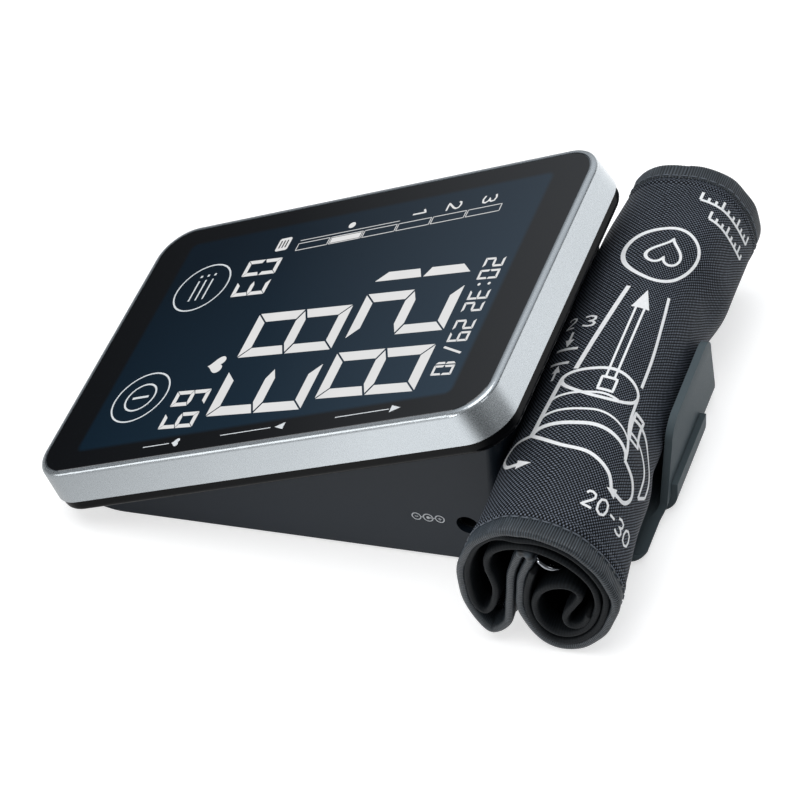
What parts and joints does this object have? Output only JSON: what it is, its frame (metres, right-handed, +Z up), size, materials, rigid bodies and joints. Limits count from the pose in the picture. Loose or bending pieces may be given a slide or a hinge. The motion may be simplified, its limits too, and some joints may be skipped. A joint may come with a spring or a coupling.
{
  "type": "arm blood pressure monitor",
  "caption": "Sloping desktop blood pressure monitor with a glass touch display, wedge base with pump and cells inside, and a rolled arm cuff in a rear holder.",
  "frame": {"origin": "middle of the whole object's footprint, on the table plane under the feet", "axes": "+X towards the user's right, +Y towards the back where the cuff lies, +Z up"},
  "size_m": [0.141, 0.182, 0.0687],
  "materials": {
    "silver_bezel": "satin silver paint",
    "black_glass": "polished, printed black at the back",
    "black_tape": "matte",
    "clear_film": "clear",
    "display_panel": "dark blue display",
    "white_plastic": "moulded",
    "inner_plastic": "moulded",
    "amber_film": "thin film",
    "circuit_board": "solder mask",
    "black_parts": "moulded",
    "steel_screw": "zinc plated",
    "gloss_black": "high gloss",
    "base_plastic": "fine satin grain",
    "foot_rubber": "soft matte",
    "cell_jacket": "shrink sleeve",
    "nickel_contact": "nickel plated",
    "motor_can": "drawn steel",
    "silicone": "translucent",
    "holder_plastic": "satin",
    "cuff_cloth": "ribbed woven nylon",
    "binding_tape": "ribbed woven tape",
    "bladder_rubber": "smooth",
    "chrome_wire": "polished"
  },
  "bodies": {
    "base": {"bezel_frame": "silver_bezel", "touch_glass": "black_glass", "glass_tape": "black_tape", "touch_film": "clear_film", "display_panel": "display_panel", "backlight": "white_plastic", "display_frame": "inner_plastic", "display_flex": "amber_film", "main_board": "circuit_board", "board_parts": "black_parts", "board_screws": "steel_screw", "buzzer": "black_parts", "pressure_sensor": "black_parts", "rear_cover": "gloss_black", "base_shell": "base_plastic", "housing_screws": "steel_screw", "rubber_feet": "foot_rubber", "aa_cells": "cell_jacket", "contact_plates": "nickel_contact", "contact_springs": "nickel_contact", "pump_head": "inner_plastic", "pump_motor": "motor_can", "pump_diaphragm": "silicone", "pump_cradle": "foot_rubber", "air_manifold": "white_plastic", "pump_hose": "silicone", "valve_hose": "silicone", "socket_hose": "silicone", "sensor_hose": "silicone", "release_valve": "motor_can", "air_socket": "black_parts", "power_jack": "black_parts", "cuff_holder": "holder_plastic", "holder_screws": "steel_screw", "holder_heel": "foot_rubber"},
    "battery_door": {"battery_door": "base_plastic"},
    "rotor": {"motor_rotor": "steel_screw"},
    "valve_core": {"valve_plunger": "steel_screw"},
    "cuff": {"cuff_roll": "cuff_cloth", "near_binding": "binding_tape", "far_binding": "binding_tape", "cuff_coil": "cuff_cloth", "cuff_bladder": "bladder_rubber", "cuff_core": "cuff_cloth", "cuff_tail_fold": "cuff_cloth", "cuff_loop_bar": "chrome_wire"}
  },
  "joints": [
    {"name": "battery_door_hinge", "type": "hinge", "parent": "base", "child": "battery_door", "pos_m": [0, -0.04308, 0.0013], "axis": [-1, 0, 0], "range_deg": [0, 75]},
    {"name": "rotor_spin", "type": "hinge", "parent": "base", "child": "rotor", "pos_m": [-0.004, 0.03162, 0.0202], "axis": [1, 0, 0], "continuous": true},
    {"name": "valve_core_slide", "type": "slide", "parent": "base", "child": "valve_core", "axis": [-1, 0, 0], "range_m": [0, 0.0008], "stiffness_N_per_m": 60},
    {"name": "cuff_slide", "type": "slide", "parent": "base", "child": "cuff", "axis": [1, 0, 0], "range_m": [0, 0.1]}
  ]
}
